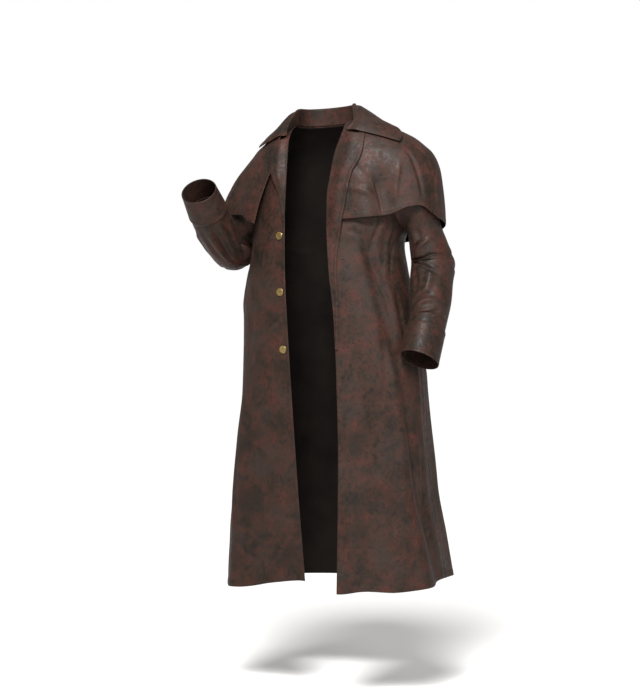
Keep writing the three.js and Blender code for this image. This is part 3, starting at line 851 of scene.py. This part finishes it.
def cloth_sheet(node, grid, lift, thickness, edges, materials, tube=False):
    """A thin wall of cloth on a grid: the points moved out by the lift, the turned edge raised a
    little with a groove under its stitches, and Solidify for the wall inside."""
    points, normals = grid
    away = edge_distance(points, edges)
    turned = TURN_RISE * (1 - ease(HEM_TURN - 2, HEM_TURN + 2, away)) * ease(0, 2.5, away)
    groove = GROOVE_DEPTH * np.exp(-(((away - HEM_TURN + 1) / GROOVE_HALF_WIDTH) ** 2))
    raised = points + normals * (lift + turned - groove)[..., None]
    rows, columns = points.shape[:2]
    faces = grid_faces(rows, columns, tube)
    item = object_from(f"cloth_{node}", raised.reshape(-1, 3), faces, materials)
    distance = item.data.attributes.new("edge_mm", "FLOAT", "POINT")
    distance.data.foreach_set("value", away.astype(np.float32).ravel())
    wall = item.modifiers.new("wall", "SOLIDIFY")
    wall.thickness = thickness / 1000
    wall.offset = -1
    wall.material_offset = len(materials) - 1
    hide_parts(*CAD_NODES.get(node, [node]))
    return item


def edge_line(grid, edge, inset):
    """Points and normals of the line that lies a given way in from one edge of a grid."""
    points, normals = grid
    if edge in ("bottom", "top"):
        points, normals = points.swapaxes(0, 1), normals.swapaxes(0, 1)
    if edge in ("last", "top"):
        points, normals = points[:, ::-1], normals[:, ::-1]
    steps = np.linalg.norm(np.diff(points, axis=1), axis=-1)
    length = np.pad(np.cumsum(steps, axis=1), ((0, 0), (1, 0)))
    after = np.argmax(length >= inset, axis=1)[:, None]
    before = after - 1
    start, end = np.take_along_axis(length, before, 1), np.take_along_axis(length, after, 1)
    share = ((inset - start) / (end - start))[..., None]

    def between(values):
        low = np.take_along_axis(values, before[..., None], 1)
        high = np.take_along_axis(values, after[..., None], 1)
        return mix(low, high, share)[:, 0]

    return between(points), unit(between(normals))


def stitch_row(name, line, lift, material):
    """A row of sewing stitches along a line: short six-sided threads, each arched out of the
    cloth and thinner at its ends."""
    points, normals = line
    length = np.pad(np.cumsum(np.linalg.norm(np.diff(points, axis=0), axis=-1)), (1, 0))
    count = int(length[-1] / STITCH_PITCH)
    starts = (np.arange(count) + 0.2) * STITCH_PITCH
    # Along a stitch: how far it rises out of the cloth in mm, and how thick it is there.
    stations = np.array([0, 0.2, 0.5, 0.8, 1])
    arch = np.array([-0.25, 0.12, 0.2, 0.12, -0.25])
    thin = np.array([0.5, 1, 1, 1, 0.5])
    at = starts[:, None] + stations * STITCH_LENGTH

    def along(values):
        return np.stack([np.interp(at, length, values[:, axis]) for axis in range(3)], axis=-1)

    centre, out = along(points), unit(along(normals))
    onwards = unit(np.gradient(centre, axis=1))
    sideways = unit(np.cross(onwards, out))
    centre = centre + out * (lift + arch)[..., None]
    angles = np.linspace(0, 2 * np.pi, 6, endpoint=False)
    radius = (THREAD_RADIUS * thin)[:, None, None]
    ring = centre[:, :, None] + radius * (
        sideways[:, :, None] * np.cos(angles)[:, None] - out[:, :, None] * np.sin(angles)[:, None]
    )
    tube_faces = grid_faces(len(stations), len(angles), tube=True)
    offsets = np.arange(count)[:, None, None] * len(stations) * len(angles)
    faces = (tube_faces[None] + offsets).reshape(-1, 4)
    item = object_from(name, ring.reshape(-1, 3), faces, material)
    return item


def lathe(profile, segments):
    """A turned shape: a profile of (out, up) carried once round its axis."""
    turn = np.linspace(0, 2 * np.pi, segments, endpoint=False)
    out, up = np.array(profile, float).T
    return np.stack([
        out[:, None] * np.cos(turn),
        out[:, None] * np.sin(turn),
        up[:, None] + 0 * turn,
    ], axis=-1)


def colour(code):
    """A linear colour from an sRGB hex code."""
    channels = [int(code[i : i + 2], 16) / 255 for i in (1, 3, 5)]
    return (*[c / 12.92 if c <= 0.04045 else ((c + 0.055) / 1.055) ** 2.4 for c in channels], 1)


def add_node(material, kind, settings=(), links=()):
    """A shader node with its settings, and its inputs linked or set."""
    node = material.node_tree.nodes.new(kind)
    for name, value in dict(settings).items():
        setattr(node, name, value)
    for socket, value in dict(links).items():
        if isinstance(value, bpy.types.NodeSocket):
            material.node_tree.links.new(value, node.inputs[socket])
        else:
            node.inputs[socket].default_value = value
    return node


def new_material(name):
    """A node material and its Principled shader."""
    material = bpy.data.materials.new(name)
    material.use_nodes = True
    return material, material.node_tree.nodes["Principled BSDF"]


def ramp(material, factor, stops):
    """A colour ramp whose stops are (place, colour)."""
    node = add_node(material, "ShaderNodeValToRGB", {}, {"Fac": factor})
    elements = node.color_ramp.elements
    while len(elements) < len(stops):
        elements.new(0.5)
    for element, (place, value) in zip(elements, stops):
        element.position = place
        element.color = value if isinstance(value, tuple) else (value, value, value, 1)
    return node.outputs["Color"]


def noise(material, where, size_mm, detail=2, roughness=0.5, distortion=0):
    """Noise whose features are about this many millimetres across."""
    return add_node(material, "ShaderNodeTexNoise", {}, {
        "Vector": where,
        "Scale": 1000 / size_mm,
        "Detail": detail,
        "Roughness": roughness,
        "Distortion": distortion,
    }).outputs["Fac"]


def blended(material, factor, first, second):
    """One colour over another, by a factor."""
    node = add_node(material, "ShaderNodeMix", {"data_type": "RGBA"})
    for number, value in {0: factor, 6: first, 7: second}.items():
        socket = node.inputs[number]
        if isinstance(value, bpy.types.NodeSocket):
            material.node_tree.links.new(value, socket)
        else:
            socket.default_value = value
    return node.outputs[2]


def bump(material, height, distance_mm, strength=1.0, below=None):
    """A relief this many millimetres high, on top of another."""
    links = {"Height": height, "Distance": distance_mm / 1000, "Strength": strength}
    if below is not None:
        links["Normal"] = below
    return add_node(material, "ShaderNodeBump", {}, links).outputs["Normal"]


def suede_cloth():
    """Sanded polyester suede cloth, printed to look weathered: clouds of rust and grey over dark
    brown, a short nap that catches a soft grey sheen, and fine rubbed grain. The real nap is about
    a tenth of a millimetre; it is drawn as coarse as it needs to show."""
    material, shader = new_material("suede_cloth")
    where = add_node(material, "ShaderNodeTexCoord").outputs["Object"]
    stretched = {"Vector": where, "Scale": (1, 1, 0.85)}
    tall = add_node(material, "ShaderNodeMapping", {}, stretched).outputs["Vector"]
    clouds = noise(material, tall, 38, 5, 0.62, 0.6)
    flecks = noise(material, tall, 9, 4, 0.68, 0.3)
    wear = noise(material, where, 85, 3, 0.55)
    grain = noise(material, where, 2.6, 3, 0.6)
    ground = ramp(material, clouds, [
        (0.34, colour("#19140f")),
        (0.46, colour("#271b15")),
        (0.56, colour("#301c16")),
        (0.70, colour("#3c1f18")),
    ])
    fleck_mask = ramp(material, flecks, [(0.46, 0.0), (0.66, 0.42)])
    ground = blended(material, fleck_mask, ground, colour("#35211a"))
    dark_mask = ramp(material, flecks, [(0.36, 0.6), (0.47, 0.0)])
    ground = blended(material, dark_mask, ground, colour("#171312"))
    shade_mask = ramp(material, wear, [(0.32, 0.6), (0.49, 0.0)])
    ground = blended(material, shade_mask, ground, colour("#18130e"))
    grey_mask = ramp(material, wear, [(0.5, 0.0), (0.68, 0.5)])
    ground = blended(material, grey_mask, ground, colour("#2a2320"))
    grain_mask = ramp(material, grain, [(0.3, 0.2), (0.7, 0.0)])
    ground = blended(material, grain_mask, ground, colour("#130f0e"))
    edge = add_node(material, "ShaderNodeAttribute", {"attribute_name": "edge_mm"}).outputs["Fac"]
    worn_edge = add_node(material, "ShaderNodeMapRange", {}, {
        "Value": edge, "From Min": 0.0, "From Max": 3.0, "To Min": 0.35, "To Max": 0.0,
    }).outputs["Result"]
    ground = blended(material, worn_edge, ground, colour("#352b27"))
    material.node_tree.links.new(ground, shader.inputs["Base Color"])
    rough = ramp(material, flecks, [(0.35, 0.38), (0.65, 0.66)])
    material.node_tree.links.new(rough, shader.inputs["Roughness"])
    shader.inputs["Specular IOR Level"].default_value = 0.11
    shader.inputs["Sheen Weight"].default_value = 0.02
    shader.inputs["Sheen Roughness"].default_value = 0.4
    shader.inputs["Sheen Tint"].default_value = colour("#b3a49c")
    nap = noise(material, where, 0.9, 2, 0.6)
    rumple = noise(material, where, 24, 3, 0.55, 0.6)
    pucker = noise(material, where, 9, 2, 0.5)
    crinkle = noise(material, where, 6.5, 4, 0.62, 0.8)
    near_edge = add_node(material, "ShaderNodeMapRange", {}, {
        "Value": edge, "From Min": 10.0, "From Max": 26.0, "To Min": 1.0, "To Max": 0.0,
    }).outputs["Result"]
    product = {"operation": "MULTIPLY"}
    puckered = add_node(material, "ShaderNodeMath", product, {0: pucker, 1: near_edge}).outputs[0]
    normal = bump(material, rumple, 1.6, 0.7)
    normal = bump(material, puckered, 1.0, 0.7, normal)
    normal = bump(material, crinkle, 0.5, 0.6, normal)
    normal = bump(material, grain, 0.2, 0.6, normal)
    normal = bump(material, nap, 0.06, 0.6, normal)
    material.node_tree.links.new(normal, shader.inputs["Normal"])
    return material


def cloth_reverse():
    """Back of the suede cloth: a plain dark knit without nap, which looks matt and nearly black in
    the shade of the coat."""
    material, shader = new_material("cloth_reverse")
    where = add_node(material, "ShaderNodeTexCoord").outputs["Object"]
    yarn = noise(material, where, 1.4, 2, 0.6)
    fade = noise(material, where, 90, 2)
    ground = ramp(material, fade, [(0.3, colour("#0d0a09")), (0.7, colour("#15110f"))])
    material.node_tree.links.new(ground, shader.inputs["Base Color"])
    shader.inputs["Roughness"].default_value = 0.9
    shader.inputs["Specular IOR Level"].default_value = 0.05
    material.node_tree.links.new(bump(material, yarn, 0.15, 0.6), shader.inputs["Normal"])
    return material


def aged_brass():
    """Brass, worn bright in some places and browned in others, in random patches, with fine
    scratches.
    """
    material, shader = new_material("aged_brass")
    where = add_node(material, "ShaderNodeTexCoord").outputs["Object"]
    tarnish = noise(material, where, 3.5, 4, 0.6)
    scratch = noise(material, where, 0.5, 2)
    ground = ramp(material, tarnish, [(0.35, colour("#6a5a38")), (0.6, colour("#9c8756"))])
    material.node_tree.links.new(ground, shader.inputs["Base Color"])
    shader.inputs["Metallic"].default_value = 1
    rough = ramp(material, tarnish, [(0.35, 0.5), (0.65, 0.3)])
    material.node_tree.links.new(rough, shader.inputs["Roughness"])
    material.node_tree.links.new(bump(material, scratch, 0.02, 0.5), shader.inputs["Normal"])
    return material


def sewing_thread():
    """Spun polyester sewing thread, dark brown, with a soft twist."""
    material, shader = new_material("sewing_thread")
    where = add_node(material, "ShaderNodeTexCoord").outputs["Object"]
    twist = noise(material, where, 0.4, 1)
    shade = noise(material, where, 30, 2)
    ground = ramp(material, shade, [(0.3, colour("#1c1513")), (0.7, colour("#2a201c"))])
    material.node_tree.links.new(ground, shader.inputs["Base Color"])
    shader.inputs["Roughness"].default_value = 0.8
    shader.inputs["Specular IOR Level"].default_value = 0.1
    material.node_tree.links.new(bump(material, twist, 0.05, 0.6), shader.inputs["Normal"])
    return material


suede = suede_cloth()
reverse = cloth_reverse()
brass = aged_brass()
thread = sewing_thread()

# The CAD divides the long pieces, which are sewn here as one.
STRETCHES = {
    "back": ("skirt", "waist", "shoulder"),
    "front_left": ("skirt", "waist", "shoulder"),
    "front_right": ("skirt", "waist", "shoulder"),
    "collar": ("left", "right"),
    "sleeve_left": ("upper", "lower"),
    "sleeve_right": ("upper", "lower"),
}
CAD_NODES = {node: [f"{node}_{part}" for part in parts] for node, parts in STRETCHES.items()}

# Each sheet: its grid, how far its outer face lies out, its wall, and its turned edges with the
# width of the turn.
FRONT_LEFT_EDGES = {"bottom": HEM_TURN, "first": EDGE_TURN}
FRONT_RIGHT_EDGES = {"bottom": HEM_TURN, "last": EDGE_TURN}
CUFF_EDGES = {"top": EDGE_TURN, "bottom": EDGE_TURN}
SHEETS = {
    "back": (back_panel(), 0, CLOTH, {"bottom": HEM_TURN}),
    "front_left": (front_panel("left"), 0, CLOTH, FRONT_LEFT_EDGES),
    "front_right": (front_panel("right"), 0, CLOTH, FRONT_RIGHT_EDGES),
    "lapel_left": (lapel("left"), LAPEL_LIFT["left"] + CLOTH, CLOTH, {"last": EDGE_TURN}),
    "lapel_right": (lapel("right"), LAPEL_LIFT["right"] + CLOTH, CLOTH, {"first": EDGE_TURN}),
    "collar": (collar(), 0, CLOTH, {"top": EDGE_TURN}),
    "cape_front_left": (cape_front("left"), 0, CLOTH, FRONT_LEFT_EDGES),
    "cape_front_right": (cape_front("right"), 0, CLOTH, FRONT_RIGHT_EDGES),
    "cape_back": (cape_back(), 0, CLOTH, {"bottom": HEM_TURN}),
    "sleeve_left": (sleeve("left"), 0, CLOTH, {}),
    "sleeve_right": (sleeve("right"), 0, CLOTH, {}),
    "cuff_left": (cuff("left"), CUFF_LIFT + CUFF_CLOTH, CUFF_CLOTH, CUFF_EDGES),
    "cuff_right": (cuff("right"), CUFF_LIFT + CUFF_CLOTH, CUFF_CLOTH, CUFF_EDGES),
}
DOUBLED = ("lapel_left", "lapel_right", "collar", "cuff_left", "cuff_right")
CLOSED = ("sleeve_left", "sleeve_right", "cuff_left", "cuff_right")


def sewn_sheet(node):
    """A sheet of cloth with the stitch rows of its turned edges."""
    grid, lift, thickness, edges = SHEETS[node]
    tube = node in CLOSED
    materials = [suede] if node in DOUBLED else [suede, reverse]
    item = cloth_sheet(node, grid, lift, thickness, edges, materials, tube)
    for edge, turned in edges.items():
        line = edge_line(grid, edge, turned - 1 if turned == HEM_TURN else turned - 0.5)
        stitch_row(f"stitches_{node}_{edge}", line, lift, thread)
    return item


def snap_cap(number, level):
    """A snap's cap on the right front: a shallow domed disc, 21 mm across, with a rolled rim and an
    inner ring, turned from a profile of (out, up)."""
    profile = [
        [0.001, 2.6], [3.6, 2.55], [4.4, 2.35], [4.9, 2.75], [5.4, 2.8], [5.9, 2.35], [8.1, 2.55],
        [9.0, 3.0], [9.8, 2.9], [10.4, 2.2], [10.5, 1.2], [10.1, 0.4], [9.2, 0.1], [0.001, 0.1],
    ]
    x = read(FRONT_EDGES, "right", level) - BUTTON_INSET
    turn = turn_at(BODY, BODY_SQUARENESS, x, level)
    place, normal = on_surface(body_point, turn, np.asarray(float(level)))
    sideways = unit(np.cross([0, 0, 1], normal))
    upright = np.cross(normal, sideways)
    ring = lathe(profile, CAP_SEGMENTS)
    points = place + normal * BUTTON_SEAT + ring @ np.stack([sideways, upright, normal])
    faces = grid_faces(len(profile), CAP_SEGMENTS, tube=True)[:, ::-1]
    item = object_from(f"cap_{number}", points.reshape(-1, 3), faces, brass)
    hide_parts(f"button_{number}")
    return item


for node in SHEETS:
    sewn_sheet(node)
for number, level in enumerate(BUTTON_LEVELS, 1):
    snap_cap(number, level)


def stage():
    """A pale floor, as far below the hem as the ground is below a long coat."""
    corners = np.array([[-1, -1, 0], [1, -1, 0], [1, 1, 0], [-1, 1, 0]], float) * FLOOR_REACH
    corners[:, 2] = FLOOR_LEVEL * 1000
    material, shader = new_material("pale_floor")
    shader.inputs["Base Color"].default_value = colour("#fbfaf8")
    shader.inputs["Roughness"].default_value = 0.8
    floor = object_from("floor", corners, np.array([[0, 1, 2, 3]]), material, smooth=False)


def soft_light(name, place, aim, size, power):
    """A round soft lamp, this many metres across, aimed at a place."""
    data = bpy.data.lights.new(name, "AREA")
    data.shape = "DISK"
    data.size = size
    data.energy = power
    lamp = bpy.data.objects.new(name, data)
    bpy.context.scene.collection.objects.link(lamp)
    lamp.location = place
    way = np.array(aim, float) - np.array(place, float)
    lamp.rotation_euler = direction(way)


def far_light(name, place, spread, strength):
    """A wide even light from one side, as a large lamp far off gives."""
    data = bpy.data.lights.new(name, "SUN")
    data.angle = math.radians(spread)
    data.energy = strength
    lamp = bpy.data.objects.new(name, data)
    bpy.context.scene.collection.objects.link(lamp)
    lamp.rotation_euler = direction([-axis for axis in place])


def direction(way):
    """Euler angles that point an object's -Z along a vector, its own +Y up."""
    flat = math.hypot(way[0], way[1])
    return (math.atan2(flat, -way[2]), 0, math.atan2(-way[0], way[1]))


def camera():
    """The photograph's camera: turned about the coat, shifted sideways, looking a little down."""
    turn = math.radians(VIEW_TURN)
    down = math.radians(VIEW_DOWN)
    forward = np.array([-math.sin(turn), math.cos(turn), 0])
    sideways = np.array([math.cos(turn), math.sin(turn), 0])
    data = bpy.data.cameras.new("camera")
    data.lens = VIEW_LENS
    data.clip_end = 100
    item = bpy.data.objects.new("camera", data)
    bpy.context.scene.collection.objects.link(item)
    place = -forward * VIEW_DISTANCE + sideways * VIEW_SIDE_SHIFT
    item.location = (place[0], place[1], VIEW_HEIGHT)
    item.rotation_euler = direction([*(forward[:2] * math.cos(down)), -math.sin(down)])
    bpy.context.scene.camera = item


def studio():
    """A white room: even light all round, a wide key light from the front, and two soft lamps that
    bring out the cape and the sleeve. The room is brighter where the camera sees it directly."""
    world = bpy.data.worlds.new("studio")
    bpy.context.scene.world = world
    world.use_nodes = True
    background = world.node_tree.nodes["Background"]
    background.inputs["Color"].default_value = (1, 1, 1, 1)
    seen = add_node(world, "ShaderNodeLightPath").outputs["Is Camera Ray"]
    levels = {"Value": seen, "To Min": ROOM_GLOW, "To Max": ROOM_SEEN}
    strength = add_node(world, "ShaderNodeMapRange", {}, levels)
    world.node_tree.links.new(strength.outputs["Result"], background.inputs["Strength"])
    far_light("key", (0.2, -1, 1.05), 18, 3.1)
    soft_light("side", (2.4, -2.5, 0.3), (0.25, 0, -0.35), 0.9, 36)
    soft_light("top", (0.45, -2.0, 1.1), (0.12, -0.1, -0.12), 0.8, 85)
    bpy.context.scene.view_settings.view_transform = "Standard"


stage()
studio()
camera()
